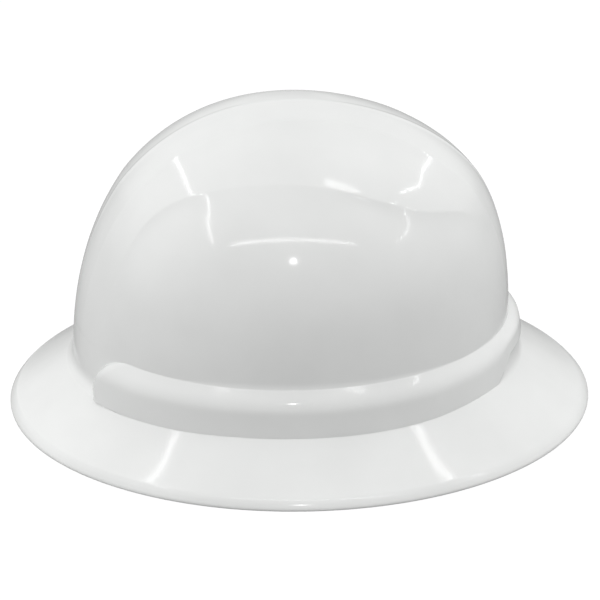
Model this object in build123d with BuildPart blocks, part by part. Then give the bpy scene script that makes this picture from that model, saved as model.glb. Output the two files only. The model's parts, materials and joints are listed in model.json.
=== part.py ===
from build123d import *
from math import atan2, cos, degrees, radians, sin
import os

os.makedirs("parts", exist_ok=True)

# Full brim hard hat, millimetres. The front faces -Y, the wearer's left is +X, the rim stands on Z = 0.

# Shell
brim_half_width = 139.7
brim_half_length = 155.0
shell_wall = 2.4
brim_wall_run = 3.3
rim_wall_run = 2.7
overrun = 2.0

crown_half_width = 105.0
crown_half_length = 115.6
crown_shift = 5.0
crown_foot = 23.6
crown_top = 161.0
front_powers = (3.45, 0.548)
rear_powers = (2.17, 0.462)
dome_height_shares = (0, 0.12, 0.25, 0.38, 0.5, 0.62, 0.72, 0.81, 0.88, 0.935, 0.975, 0.993, 0.999)

# Brim outline, from its rim up to the crown's foot: height, and how far it lies outside the crown's foot
brim_height = 25.3
brim_foot_run = 7.0
lip_height = 5.0
lip_run = 2.2
fillet_height = 9.0
brim_level_shares = (0.0, 0.42, 1.0)
brim_run_shares = (0.0, 0.44, 1.0)
foot_level_shares = (0.2, 0.5, 1.0)
foot_run_shares = (0.52, 0.22, 0.02)

# Rounded band round the crown's foot
band_top = 49.3
band_proud = 7.4
band_level_shares = (0.0, 0.18, 0.38, 0.58, 0.76, 0.9, 1.0)
band_proud_shares = (1.0, 1.0, 0.96, 0.84, 0.6, 0.3, 0.0)
band_gap_half_width = 60.0
band_gap_reach = 60.0

# Raised panel and centre rib on the dome
panel_rise = 1.1
rib_rise = 1.0
rib_half_width = 24.0
rib_front_half_width = 29.0
raised_foot = 84.0
rise_full_share = 0.7
rise_power = 3
panel_half_width = 65.5
panel_front_half_width = 27.0
panel_rear_half_width = 45.5
panel_y_shares = (0.85, 0.60, 0.42, 0.12, -0.22, -0.51, -0.72, -0.88)
panel_x_shares = (0.0, 0.12, 0.5, 0.9, 1.0, 0.86, 0.4, 0.05)

# Head ring of the suspension
ring_radius = 77.0
ring_half_straight = 17.0
ring_shift = 2.0
front_arc_y = ring_shift - ring_half_straight
rear_arc_y = ring_shift + ring_half_straight
headband_thickness = 1.5
headband_half_height = 14.0
headband_level = 20.0
ear_width = 18.0
ear_height = 14.5
ear_stud_rise = 23.5
height_travel = 6.0
key_angle = 45.0
soft_gap = 0.3
slide_gap = 0.5
seat_gap = 0.05

# Studs between headband and keys
stud_radius = 2.5
stud_head_radius = 4.0
stud_head_thickness = 1.5
stud_running_gap = 0.2

# Keys and their pockets
key_width = 22.0
key_thickness = 2.0
key_bottom = 38.5
key_top = 70.0
key_gap = 0.7
key_bridge_level = 55.0
key_bridge_thickness = 3.0
web_slot_width = 17.0
web_slot_height = 2.2
web_slot_level = 65.0
blade_offset = 10.8
blade_thickness = 2.2
blade_width = 15.6
blade_height = 18.0
pocket_gap = 0.2
pocket_width = 22.0
pocket_bottom = 58.5
pocket_height = 18.0
pocket_depth = 22.0
pocket_wall = 1.8

# Crown straps
strap_width = 16.0
strap_thickness = 1.2
strap_foot = 58.0
strap_crown = 127.0
strap_key_gap = 1.5

# Rack arms and pinion
module_size = 1.0
pinion_teeth = 12
rack_teeth_round = 160
pinion_radius = module_size * pinion_teeth / 2
rack_radius = module_size * rack_teeth_round / 2
tooth_pitch_angle = 360 / rack_teeth_round
tooth_addendum = 0.7
tooth_dedendum = 0.9
tooth_tip_width = 0.7
tooth_root_width = 1.6
rack_thickness = 2.0
rack_half_height = 12.0
arm_start_angle = 17.0
arm_plate_angle = 31.0
arm_tip_angle = 108.0
rack_tooth_count = 16
guide_key_gap_angle = 0.9
guide_span_angle = 3.5
tail_overhang_angle = 1.0
guide_thickness = 1.5
guide_rise = 1.5
rack_window_gap = 0.3
pinion_face_gap = 0.15

# Ratchet housing, cover and screws
housing_half_angle = 24.0
housing_half_height = 17.0
housing_wall = 2.6
cover_thickness = 1.6
channel_gap = 0.3
screw_radius = 1.2
screw_head_radius = 2.2
screw_head_depth = 1.0
screw_angle = 20.0
screw_rise = 14.65
screw_end_wall = 1.0

# Knob, detent spring and screw
shaft_radius = 3.0
shaft_gap = 0.1
knob_radius = 15.5
knob_depth = 8.6
knob_gap = 0.4
knob_grip_count = 18
knob_grip_radius = 1.6
knob_cavity_radius = 12.6
knob_cavity_depth = 2.6
notch_count = 24
notch_radius = 0.8
detent_outer_radius = 8.0
boss_radius = 9.0
boss_rise = 0.05
pinion_stub_radius = 1.5
socket_depth = 4.2
detent_thickness = 1.0
detent_finger_reach = 12.1
detent_finger_width = 2.4
knob_screw_radius = 1.5
knob_screw_head_radius = 3.0
knob_screw_head_depth = 2.0
knob_screw_length = 9.0
driver_slot_width = 0.8

# Soft pads
brow_pad_half_angle = 72.0
brow_pad_thickness = 4.2
brow_pad_half_height = 16.0
nape_pad_half_angle = 20.0
nape_pad_thickness = 4.0
nape_pad_half_height = 13.0
pad_edge_share = 0.3
snap_radius = 2.0
snap_head_radius = 3.2
snap_head_thickness = 0.9
snap_angle = 58.0
snap_rise = 7.0


# Crown half sizes at a share of its height: half width, front reach and rear reach
def crown_shape(share):
    front = (1 - share ** front_powers[0]) ** front_powers[1]
    rear = (1 - share ** rear_powers[0]) ** rear_powers[1]
    return (front + rear) / 2, front, rear


# Egg-shaped section: two half ellipses that meet at the widest place
def egg_section(level, half_width, front_reach, rear_reach, centre_y):
    with BuildSketch(Plane.XY.offset(level)) as section:
        with BuildLine():
            EllipticalCenterArc((0, centre_y), half_width, rear_reach, start_angle=0, arc_size=180)
            EllipticalCenterArc((0, centre_y), half_width, front_reach, start_angle=180, arc_size=180)
        make_face()
    return section.sketch


# Closed dome, set in from the crown's outer face, or standing out by a rise that grows up the dome
def dome_form(inset, rise=0):
    with BuildPart() as dome:
        sections = []
        for share in dome_height_shares:
            width_share, front_share, rear_share = crown_shape(share)
            offset = inset - rise * min(1, (share / rise_full_share) ** rise_power)
            level = crown_foot + (crown_top - offset - crown_foot) * share
            half_width = (crown_half_width - offset) * width_share
            front_reach = (crown_half_length - offset) * front_share
            rear_reach = (crown_half_length - offset) * rear_share
            sections.append(egg_section(level, half_width, front_reach, rear_reach, crown_shift))
        loft(sections=sections)
    return dome.part


# Stack of ellipses joined by straight walls
def stacked_form(levels, half_widths, half_lengths, centres, ruled):
    with BuildPart() as stack:
        sections = []
        for level, half_width, half_length, centre_y in zip(levels, half_widths, half_lengths, centres):
            sections.append(egg_section(level, half_width, half_length, half_length, centre_y))
        loft(sections=sections, ruled=ruled)
    return stack.part


# Brim, closed, from the rim up to where its fillet meets the crown
def brim_form(inset, rim_inset, drop):
    levels = [-drop]
    half_widths = [brim_half_width - rim_inset]
    half_lengths = [brim_half_length - rim_inset]
    centres = [0]
    foot_half_width = crown_half_width + brim_foot_run
    foot_half_length = crown_half_length + brim_foot_run
    edge_half_width = brim_half_width - lip_run
    edge_half_length = brim_half_length - lip_run
    for level_share, run_share in zip(brim_level_shares, brim_run_shares):
        levels.append(lip_height + (brim_height - lip_height) * level_share)
        half_widths.append(edge_half_width + (foot_half_width - edge_half_width) * run_share - inset)
        half_lengths.append(edge_half_length + (foot_half_length - edge_half_length) * run_share - inset)
        centres.append(crown_shift * run_share)
    for level_share, run_share in zip(foot_level_shares, foot_run_shares):
        levels.append(brim_height + fillet_height * level_share)
        half_widths.append(crown_half_width + brim_foot_run * run_share - inset)
        half_lengths.append(crown_half_length + brim_foot_run * run_share - inset)
        centres.append(crown_shift)
    return stacked_form(levels, half_widths, half_lengths, centres, True)


# Band round the crown's foot, closed, with its gap at the rear
def band_form(inset, gap_half_width):
    levels = []
    half_widths = []
    half_lengths = []
    centres = []
    for level_share, proud_share in zip(band_level_shares, band_proud_shares):
        levels.append(brim_height + (band_top - brim_height) * level_share)
        half_widths.append(crown_half_width + band_proud * proud_share - inset)
        half_lengths.append(crown_half_length + band_proud * proud_share - inset)
        centres.append(crown_shift)
    ring = stacked_form(levels, half_widths, half_lengths, centres, True)
    with BuildPart() as band:
        add(ring)
        with BuildSketch(Plane.XY.offset(brim_height - overrun)):
            with Locations((0, band_gap_reach)):
                Rectangle(2 * gap_half_width, brim_half_length, align=(Align.CENTER, Align.MIN))
        extrude(amount=band_top - brim_height + 2 * overrun, mode=Mode.SUBTRACT)
    return band.part


# Raised part of the dome: a slightly larger dome cut to an outline seen from above
def raised_form(rise, left_edge):
    larger = dome_form(0, rise)
    rear_x, rear_y = left_edge[0]
    front_x, front_y = left_edge[-1]
    with BuildPart() as raised:
        with BuildSketch(Plane.XY.offset(raised_foot)):
            with BuildLine():
                Spline(*left_edge)
                Spline(*[(-x, y) for x, y in left_edge])
                Line((rear_x, rear_y), (-rear_x, rear_y))
                Line((front_x, front_y), (-front_x, front_y))
            make_face()
        extrude(amount=crown_top)
        add(larger, mode=Mode.INTERSECT)
    return raised.part


# Left edge of the panel seen from above, from the rear to the front
def panel_edge():
    edge = [(panel_rear_half_width, brim_half_length)]
    for y_share, x_share in zip(panel_y_shares, panel_x_shares):
        narrow = panel_rear_half_width if y_share > 0 else panel_front_half_width
        edge.append((narrow + (panel_half_width - narrow) * x_share, crown_half_length * y_share))
    edge.append((panel_front_half_width, -brim_half_length))
    return edge


rib_rear = (rib_half_width, brim_half_length)
rib_middle = (rib_half_width, 0)
rib_front = (rib_front_half_width, -brim_half_length)

# Places of the four keys: arc centre and turn about Z from the +Y direction
key_places = {
    "front_left": Location((0, front_arc_y, 0), (0, 0, 180 + key_angle)),
    "front_right": Location((0, front_arc_y, 0), (0, 0, 180 - key_angle)),
    "rear_left": Location((0, rear_arc_y, 0), (0, 0, -key_angle)),
    "rear_right": Location((0, rear_arc_y, 0), (0, 0, key_angle)),
}
headband_outer = ring_radius + headband_thickness
key_face = headband_outer + key_gap
blade_face = key_face + blade_offset - blade_thickness

outer_dome = dome_form(0)
inner_dome = dome_form(shell_wall)
outer_brim = brim_form(0, 0, 0)
inner_brim = brim_form(brim_wall_run, rim_wall_run, overrun)
outer_band = band_form(0, band_gap_half_width)
inner_band = band_form(shell_wall, band_gap_half_width + shell_wall)
panel = raised_form(panel_rise, panel_edge())
rib = raised_form(panel_rise + rib_rise, [rib_rear, rib_middle, rib_front])

with BuildPart() as pocket_block:
    pocket_face = blade_face - pocket_wall - pocket_gap
    with BuildSketch(Plane.XY.offset(pocket_bottom)):
        with Locations((0, pocket_face)):
            Rectangle(pocket_width, pocket_depth, align=(Align.CENTER, Align.MIN))
    extrude(amount=pocket_height)

slot_width = blade_width + 2 * pocket_gap
slot_thickness = blade_thickness + 2 * pocket_gap
slot_height = blade_height - (pocket_bottom - key_bridge_level) + pocket_gap
with BuildPart() as pocket_slot:
    with BuildSketch(Plane.XY.offset(pocket_bottom - overrun)):
        with Locations((0, blade_face - pocket_gap)):
            Rectangle(slot_width, slot_thickness, align=(Align.CENTER, Align.MIN))
    extrude(amount=slot_height + overrun)

with BuildPart() as pockets:
    for place in key_places.values():
        with Locations(place):
            add(pocket_block.part)
    add(inner_dome, mode=Mode.INTERSECT)
    for place in key_places.values():
        with Locations(place):
            add(pocket_slot.part, mode=Mode.SUBTRACT)

# Shell: dome, panel, rib, band and brim with one wall, and the pockets inside it
with BuildPart() as shell:
    add(outer_dome)
    add(panel)
    add(rib)
    add(outer_brim)
    add(outer_band)
    add(inner_dome, mode=Mode.SUBTRACT)
    add(inner_brim, mode=Mode.SUBTRACT)
    add(inner_band, mode=Mode.SUBTRACT)
    add(pockets.part)
shell.part.label = "shell"
export_step(shell.part, "parts/shell.step")


# Piece of a ring round an upright axis, between two angles from +X
def ring_piece(level, height, inner, outer, centre_y, start_angle, end_angle):
    with BuildPart() as piece:
        with BuildSketch(Plane.XY.offset(level)):
            with BuildLine():
                near = CenterArc((0, centre_y), inner, start_angle, end_angle - start_angle)
                far = CenterArc((0, centre_y), outer, start_angle, end_angle - start_angle)
                Line(near @ 0, far @ 0)
                Line(near @ 1, far @ 1)
            make_face()
        extrude(amount=height)
    return piece.part


# Plane that faces outwards at an angle round the rear arc, its Y axis pointing up
def rear_plane(angle, radius, level):
    outward = (cos(radians(angle)), sin(radians(angle)), 0)
    sideways = (-sin(radians(angle)), cos(radians(angle)), 0)
    place = (radius * outward[0], rear_arc_y + radius * outward[1], level)
    return Plane(origin=place, x_dir=sideways, z_dir=outward)


# Crowned pad that follows an arc, thickest along its middle
def arc_pad(centre_y, face_radius, thickness, half_height, start_angle, end_angle):
    outward = (cos(radians(start_angle)), sin(radians(start_angle)), 0)
    crosswise = (sin(radians(start_angle)), -cos(radians(start_angle)), 0)
    edge_radius = face_radius - thickness * pad_edge_share
    crest_radius = face_radius - thickness
    low = headband_level - half_height
    high = headband_level + half_height
    with BuildPart() as pad:
        with BuildSketch(Plane(origin=(0, centre_y, 0), x_dir=outward, z_dir=crosswise)):
            with BuildLine():
                Line((face_radius, low), (edge_radius, low))
                ThreePointArc((edge_radius, low), (crest_radius, headband_level), (edge_radius, high))
                Line((edge_radius, high), (face_radius, high))
                Line((face_radius, high), (face_radius, low))
            make_face()
        revolve(axis=Axis((0, centre_y, 0), (0, 0, 1)), revolution_arc=end_angle - start_angle)
    return pad.part


# Key: a plate with the height slot and the webbing slot, a bridge, and the blade that goes up into the pocket
stud_level = headband_level + ear_stud_rise
stud_way_radius = stud_radius + stud_running_gap
with BuildPart() as key:
    with BuildSketch(Plane.XY.offset(key_bottom)):
        with Locations((0, key_face)):
            Rectangle(key_width, key_thickness, align=(Align.CENTER, Align.MIN))
    extrude(amount=key_top - key_bottom)
    with BuildSketch(Plane.XZ.offset(-key_face + overrun)):
        with Locations((0, stud_level + height_travel / 2)):
            SlotOverall(height_travel + 2 * stud_way_radius, 2 * stud_way_radius, 90)
        with Locations((0, web_slot_level)):
            Rectangle(web_slot_width, web_slot_height)
    extrude(amount=-key_thickness - 2 * overrun, mode=Mode.SUBTRACT)
    with BuildSketch(Plane.XY.offset(key_bridge_level)):
        with Locations((0, key_face + key_thickness)):
            Rectangle(blade_width, blade_offset - key_thickness, align=(Align.CENTER, Align.MIN))
    extrude(amount=key_bridge_thickness)
    with BuildSketch(Plane.XY.offset(key_bridge_level)):
        with Locations((0, blade_face)):
            Rectangle(blade_width, blade_thickness, align=(Align.CENTER, Align.MIN))
    extrude(amount=blade_height)

for key_name, place in key_places.items():
    with BuildPart() as placed_key:
        with Locations(place):
            add(key.part)
    placed_key.part.label = "key_" + key_name
    export_step(placed_key.part, "parts/key_" + key_name + ".step")


# Crown straps: each is an arch between two opposite keys, and the upper one crosses over the lower
key_side = key_face * sin(radians(key_angle))
key_reach = ring_half_straight + key_face * cos(radians(key_angle))
strap_half_span = (key_side**2 + key_reach**2) ** 0.5


def crown_strap(lean, rise):
    along = (lean * key_side / strap_half_span, key_reach / strap_half_span, 0)
    across = (along[1], -along[0], 0)
    outer_span = strap_half_span - strap_key_gap
    outer_rise = strap_crown + rise - strap_foot
    inner_span = outer_span - strap_thickness
    inner_rise = outer_rise - strap_thickness
    with BuildPart() as strap:
        with BuildSketch(Plane(origin=(0, ring_shift, strap_foot), x_dir=along, z_dir=across)):
            with BuildLine():
                outer = EllipticalCenterArc((0, 0), outer_span, outer_rise, start_angle=0, arc_size=180)
                inner = EllipticalCenterArc((0, 0), inner_span, inner_rise, start_angle=0, arc_size=180)
                Line(outer @ 0, inner @ 0)
                Line(outer @ 1, inner @ 1)
            make_face()
        extrude(amount=strap_width / 2, both=True)
    return strap.part


crown_strap_lower = crown_strap(1, 0)
crown_strap_lower.label = "crown_strap_lower"
export_step(crown_strap_lower, "parts/crown_strap_lower.step")

crown_strap_upper = crown_strap(-1, strap_thickness + soft_gap)
crown_strap_upper.label = "crown_strap_upper"
export_step(crown_strap_upper, "parts/crown_strap_upper.step")

# Headband: front arc, straight sides, rear tails with guide loops for the arms, and four ears for the studs
band_foot = headband_level - headband_half_height
band_height = 2 * headband_half_height
ear_half_angle = degrees(ear_width / 2 / ring_radius)
window_half_height = rack_half_height + rack_window_gap
rack_inner = rack_radius - rack_thickness / 2
rack_outer = rack_radius + rack_thickness / 2
guide_half_height = window_half_height + guide_rise
guide_start_angle = key_angle + degrees(atan2(key_width / 2, key_face)) + guide_key_gap_angle
guide_end_angle = guide_start_angle + guide_span_angle
tail_end_angle = guide_end_angle + tail_overhang_angle

guide_foot = headband_level - guide_half_height
guide_height = 2 * guide_half_height
guide_outer = rack_outer + channel_gap + guide_thickness
with BuildPart() as guide_loops:
    for start_angle in (guide_start_angle, 180 - guide_end_angle):
        span = (start_angle, start_angle + guide_end_angle - guide_start_angle)
        add(ring_piece(guide_foot, guide_height, headband_outer, guide_outer, rear_arc_y, *span))

with BuildPart() as arm_window:
    window_foot = headband_level - window_half_height
    window_outer = rack_outer + channel_gap
    add(ring_piece(window_foot, 2 * window_half_height, headband_outer, window_outer, rear_arc_y, 0, 180))

ears = []
for ear_angle in (key_angle, 180 - key_angle, 180 + key_angle, 360 - key_angle):
    ear_arc_y = rear_arc_y if ear_angle < 180 else front_arc_y
    ear_foot = headband_level + headband_half_height
    ear_span = (ear_angle - ear_half_angle, ear_angle + ear_half_angle)
    ears.append(ring_piece(ear_foot, ear_height, ring_radius, headband_outer, ear_arc_y, *ear_span))

front_arc = ring_piece(band_foot, band_height, ring_radius, headband_outer, front_arc_y, 180, 360)
left_tail = ring_piece(band_foot, band_height, ring_radius, headband_outer, rear_arc_y, 0, tail_end_angle)
right_start = 180 - tail_end_angle
right_tail = ring_piece(band_foot, band_height, ring_radius, headband_outer, rear_arc_y, right_start, 180)


# Cylinder that points outwards from a key's arc centre
def radial_pin(radius, start, length, level):
    with BuildPart() as pin:
        with BuildSketch(Plane(origin=(0, start, level), x_dir=(1, 0, 0), z_dir=(0, 1, 0))):
            Circle(radius)
        extrude(amount=length)
    return pin.part


stud_hole = radial_pin(stud_radius + seat_gap, ring_radius - overrun, 3 * overrun, stud_level)
snap_hole = radial_pin(snap_radius + seat_gap, ring_radius - overrun, 3 * overrun, headband_level)
snap_places = []
for side in (-1, 1):
    for rise in (-snap_rise, snap_rise):
        snap_places.append(Location((0, front_arc_y, rise), (0, 0, 180 + side * snap_angle)))

with BuildPart() as headband:
    add(front_arc)
    add(left_tail)
    add(right_tail)
    with BuildSketch(Plane.XY.offset(band_foot)):
        with Locations((ring_radius, ring_shift), (-headband_outer, ring_shift)):
            Rectangle(headband_thickness, 2 * ring_half_straight, align=(Align.MIN, Align.CENTER))
    extrude(amount=band_height)
    for ear in ears:
        add(ear)
    add(guide_loops.part)
    add(arm_window.part, mode=Mode.SUBTRACT)
    for place in key_places.values():
        with Locations(place):
            add(stud_hole, mode=Mode.SUBTRACT)
    for place in snap_places:
        with Locations(place):
            add(snap_hole, mode=Mode.SUBTRACT)
headband.part.label = "headband"
export_step(headband.part, "parts/headband.step")

# Studs: a flange inside the ear, a shaft through the key's height slot, and a head outside it
stud_flange_start = ring_radius - 2 * key_gap - seat_gap
stud_head_start = key_face + key_thickness + slide_gap
with BuildPart() as stud:
    add(radial_pin(stud_head_radius, stud_flange_start, key_gap, stud_level))
    add(radial_pin(stud_radius, stud_flange_start, stud_head_start - stud_flange_start, stud_level))
    add(radial_pin(stud_head_radius, stud_head_start, stud_head_thickness, stud_level))

with BuildPart() as headband_studs:
    for place in key_places.values():
        with Locations(place):
            add(stud.part)
headband_studs.part.label = "headband_studs"
export_step(headband_studs.part, "parts/headband_studs.step")

# Brow pad and the snaps that hold it
brow_pad = arc_pad(
    front_arc_y,
    ring_radius - soft_gap,
    brow_pad_thickness,
    brow_pad_half_height,
    270 - brow_pad_half_angle,
    270 + brow_pad_half_angle,
)
brow_pad.label = "brow_pad"
export_step(brow_pad, "parts/brow_pad.step")

snap_start = ring_radius - soft_gap + seat_gap
with BuildPart() as snap:
    add(radial_pin(snap_radius, snap_start, headband_thickness + soft_gap, headband_level))
    add(radial_pin(snap_head_radius, headband_outer + seat_gap, snap_head_thickness, headband_level))

with BuildPart() as brow_pad_snaps:
    for place in snap_places:
        with Locations(place):
            add(snap.part)
brow_pad_snaps.part.label = "brow_pad_snaps"
export_step(brow_pad_snaps.part, "parts/brow_pad_snaps.step")

# Rack arms: a root plate and a toothed bar, and the right one is the left one turned over
rack_root = pinion_radius + tooth_dedendum
bar_foot = headband_level + rack_root
bar_height = rack_half_height - rack_root
plate_foot = headband_level - rack_half_height
arm_plate = ring_piece(
    plate_foot, 2 * rack_half_height, rack_inner, rack_outer, rear_arc_y, arm_start_angle, arm_plate_angle
)
arm_bar = ring_piece(bar_foot, bar_height, rack_inner, rack_outer, rear_arc_y, arm_start_angle, arm_tip_angle)

with BuildPart() as rack_arm_left:
    add(arm_plate)
    add(arm_bar)
    for index in range(rack_tooth_count):
        tooth_angle = 90 + (index + (1 - rack_tooth_count) / 2) * tooth_pitch_angle
        with BuildSketch(rear_plane(tooth_angle, rack_inner, headband_level)):
            with BuildLine():
                Polyline(
                    (-tooth_root_width / 2, rack_root + tooth_addendum / 2),
                    (-tooth_root_width / 2, rack_root),
                    (-tooth_tip_width / 2, pinion_radius - tooth_addendum),
                    (tooth_tip_width / 2, pinion_radius - tooth_addendum),
                    (tooth_root_width / 2, rack_root),
                    (tooth_root_width / 2, rack_root + tooth_addendum / 2),
                    close=True,
                )
            make_face()
        extrude(amount=rack_thickness)
rack_arm_left.part.label = "rack_arm_left"
export_step(rack_arm_left.part, "parts/rack_arm_left.step")

with BuildPart() as rack_arm_right:
    with Locations(Location((0, 0, 2 * headband_level), (0, 180, 0))):
        add(rack_arm_left.part)
rack_arm_right.part.label = "rack_arm_right"
export_step(rack_arm_right.part, "parts/rack_arm_right.step")

# Ratchet radii, outwards from the head
channel_outer = rack_outer + channel_gap
cover_outer = rack_inner - 4 * seat_gap
cover_inner = cover_outer - cover_thickness
housing_outer = channel_outer + housing_wall
boss_face = housing_outer + boss_rise
knob_face = boss_face + knob_gap
housing_start = 90 - housing_half_angle
housing_end = 90 + housing_half_angle
housing_foot = headband_level - housing_half_height
housing_height = 2 * housing_half_height
screw_planes = [(90 + side * screw_angle, rise * screw_rise) for side in (-1, 1) for rise in (-1, 1)]
span = (housing_start, housing_end)
housing_block = ring_piece(housing_foot, housing_height, cover_outer, housing_outer, rear_arc_y, *span)
channel = ring_piece(window_foot, 2 * window_half_height, ring_radius, channel_outer, rear_arc_y, 0, 180)
cover_block = ring_piece(housing_foot, housing_height, cover_inner, cover_outer, rear_arc_y, *span)

with BuildPart() as ratchet_housing:
    add(housing_block)
    add(channel, mode=Mode.SUBTRACT)
    with BuildSketch(rear_plane(90, channel_outer + housing_wall / 2, headband_level)):
        Circle(boss_radius)
    extrude(amount=boss_face - channel_outer - housing_wall / 2)
    with BuildSketch(rear_plane(90, cover_outer, headband_level)):
        Circle(shaft_radius + shaft_gap)
    extrude(amount=boss_face - cover_outer + overrun, mode=Mode.SUBTRACT)
    for angle, rise in screw_planes:
        with BuildSketch(rear_plane(angle, cover_inner, headband_level + rise)):
            Circle(screw_radius + seat_gap)
        extrude(amount=housing_outer - screw_end_wall - cover_inner, mode=Mode.SUBTRACT)
ratchet_housing.part.label = "ratchet_housing"
export_step(ratchet_housing.part, "parts/ratchet_housing.step")

with BuildPart() as ratchet_cover:
    add(cover_block)
    with BuildSketch(rear_plane(90, cover_inner - overrun, headband_level)):
        Circle(pinion_stub_radius + shaft_gap)
    extrude(amount=cover_thickness + 2 * overrun, mode=Mode.SUBTRACT)
    for angle, rise in screw_planes:
        with BuildSketch(rear_plane(angle, cover_inner - overrun, headband_level + rise)):
            Circle(screw_radius + seat_gap)
        extrude(amount=cover_thickness + 2 * overrun, mode=Mode.SUBTRACT)
        with BuildSketch(rear_plane(angle, cover_inner - overrun, headband_level + rise)):
            Circle(screw_head_radius + seat_gap)
        extrude(amount=screw_head_depth + overrun, mode=Mode.SUBTRACT)
ratchet_cover.part.label = "ratchet_cover"
export_step(ratchet_cover.part, "parts/ratchet_cover.step")

with BuildPart() as cover_screws:
    for angle, rise in screw_planes:
        with BuildSketch(rear_plane(angle, cover_inner + seat_gap, headband_level + rise)):
            Circle(screw_head_radius)
        extrude(amount=screw_head_depth - 2 * seat_gap)
        with BuildSketch(rear_plane(angle, cover_inner + seat_gap, headband_level + rise)):
            Circle(screw_radius)
        extrude(amount=housing_outer - screw_end_wall - cover_inner - 2 * seat_gap)
        with BuildSketch(rear_plane(angle, cover_inner + seat_gap, headband_level + rise)):
            Rectangle(2 * screw_head_radius, driver_slot_width)
        extrude(amount=screw_head_depth / 2, mode=Mode.SUBTRACT)
cover_screws.part.label = "cover_screws"
export_step(cover_screws.part, "parts/cover_screws.step")

# Pinion between the two racks, with a stub in the cover and a bored shaft out to the knob
pinion_back = rack_inner + pinion_face_gap
pinion_front = rack_outer - pinion_face_gap
socket_end = knob_face + socket_depth
knob_front = knob_face + knob_depth
screw_end = knob_front - knob_screw_head_depth - knob_screw_length
with BuildPart() as pinion:
    with BuildSketch(rear_plane(90, pinion_back, headband_level)):
        Circle(pinion_radius - tooth_dedendum)
        with PolarLocations(pinion_radius, pinion_teeth):
            Polygon(
                (-tooth_dedendum - tooth_addendum / 2, -tooth_root_width / 2),
                (-tooth_dedendum, -tooth_root_width / 2),
                (tooth_addendum, -tooth_tip_width / 2),
                (tooth_addendum, tooth_tip_width / 2),
                (-tooth_dedendum, tooth_root_width / 2),
                (-tooth_dedendum - tooth_addendum / 2, tooth_root_width / 2),
                align=None,
            )
    extrude(amount=pinion_front - pinion_back)
    with BuildSketch(rear_plane(90, pinion_front, headband_level)):
        Circle(shaft_radius)
    extrude(amount=socket_end - seat_gap - pinion_front)
    with BuildSketch(rear_plane(90, cover_inner + 4 * seat_gap, headband_level)):
        Circle(pinion_stub_radius)
    extrude(amount=pinion_back - cover_inner - 4 * seat_gap)
    with BuildSketch(rear_plane(90, screw_end - seat_gap, headband_level)):
        Circle(knob_screw_radius + seat_gap)
    extrude(amount=socket_end - screw_end + overrun, mode=Mode.SUBTRACT)
pinion.part.label = "pinion"
export_step(pinion.part, "parts/pinion.step")

# Detent spring: a disc on the housing's boss with two fingers that click in the knob's notches
with BuildPart() as detent_spring:
    with BuildSketch(rear_plane(90, boss_face, headband_level)):
        Circle(detent_outer_radius)
        Rectangle(2 * detent_finger_reach, detent_finger_width)
        Circle(shaft_radius + 2 * shaft_gap, mode=Mode.SUBTRACT)
    extrude(amount=detent_thickness)
detent_spring.part.label = "detent_spring"
export_step(detent_spring.part, "parts/detent_spring.step")

# Knob: grip flutes outside, a notched cavity behind, a socket for the shaft and a seat for the screw
with BuildPart() as knob:
    with BuildSketch(rear_plane(90, knob_face, headband_level)):
        Circle(knob_radius)
    extrude(amount=knob_depth)
    fillet(knob.faces().sort_by(Axis.Y)[-1].edges(), knob_grip_radius)
    with BuildSketch(rear_plane(90, knob_face, headband_level)):
        with PolarLocations(knob_radius + knob_grip_radius / 2, knob_grip_count):
            Circle(knob_grip_radius)
    extrude(amount=knob_depth, mode=Mode.SUBTRACT)
    with BuildSketch(rear_plane(90, knob_face, headband_level)):
        Circle(knob_cavity_radius)
        with PolarLocations(knob_cavity_radius, notch_count):
            Circle(notch_radius)
    extrude(amount=knob_cavity_depth, mode=Mode.SUBTRACT)
    with BuildSketch(rear_plane(90, knob_face, headband_level)):
        Circle(shaft_radius + seat_gap)
    extrude(amount=socket_depth, mode=Mode.SUBTRACT)
    with BuildSketch(rear_plane(90, knob_face, headband_level)):
        Circle(knob_screw_radius + seat_gap)
    extrude(amount=knob_depth, mode=Mode.SUBTRACT)
    with BuildSketch(rear_plane(90, knob_front - knob_screw_head_depth, headband_level)):
        Circle(knob_screw_head_radius + seat_gap)
    extrude(amount=knob_depth, mode=Mode.SUBTRACT)
knob.part.label = "knob"
export_step(knob.part, "parts/knob.step")

with BuildPart() as knob_screw:
    with BuildSketch(rear_plane(90, knob_front - knob_screw_head_depth, headband_level)):
        Circle(knob_screw_head_radius)
    extrude(amount=knob_screw_head_depth - seat_gap)
    with BuildSketch(rear_plane(90, screw_end, headband_level)):
        Circle(knob_screw_radius)
    extrude(amount=knob_screw_length)
    with BuildSketch(rear_plane(90, knob_front - knob_screw_head_depth / 2, headband_level)):
        Rectangle(2 * knob_screw_head_radius, driver_slot_width)
        Rectangle(driver_slot_width, 2 * knob_screw_head_radius)
    extrude(amount=knob_screw_head_depth, mode=Mode.SUBTRACT)
knob_screw.part.label = "knob_screw"
export_step(knob_screw.part, "parts/knob_screw.step")

# Nape pad inside the ratchet cover
nape_pad = arc_pad(
    rear_arc_y,
    cover_inner - soft_gap,
    nape_pad_thickness,
    nape_pad_half_height,
    90 - nape_pad_half_angle,
    90 + nape_pad_half_angle,
)
nape_pad.label = "nape_pad"
export_step(nape_pad, "parts/nape_pad.step")
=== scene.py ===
import json
from bisect import bisect_left
from math import atan2, cos, degrees, exp, hypot, pi, radians, sin, sqrt

import bmesh
import bpy
from mathutils import Matrix, Vector

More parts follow.
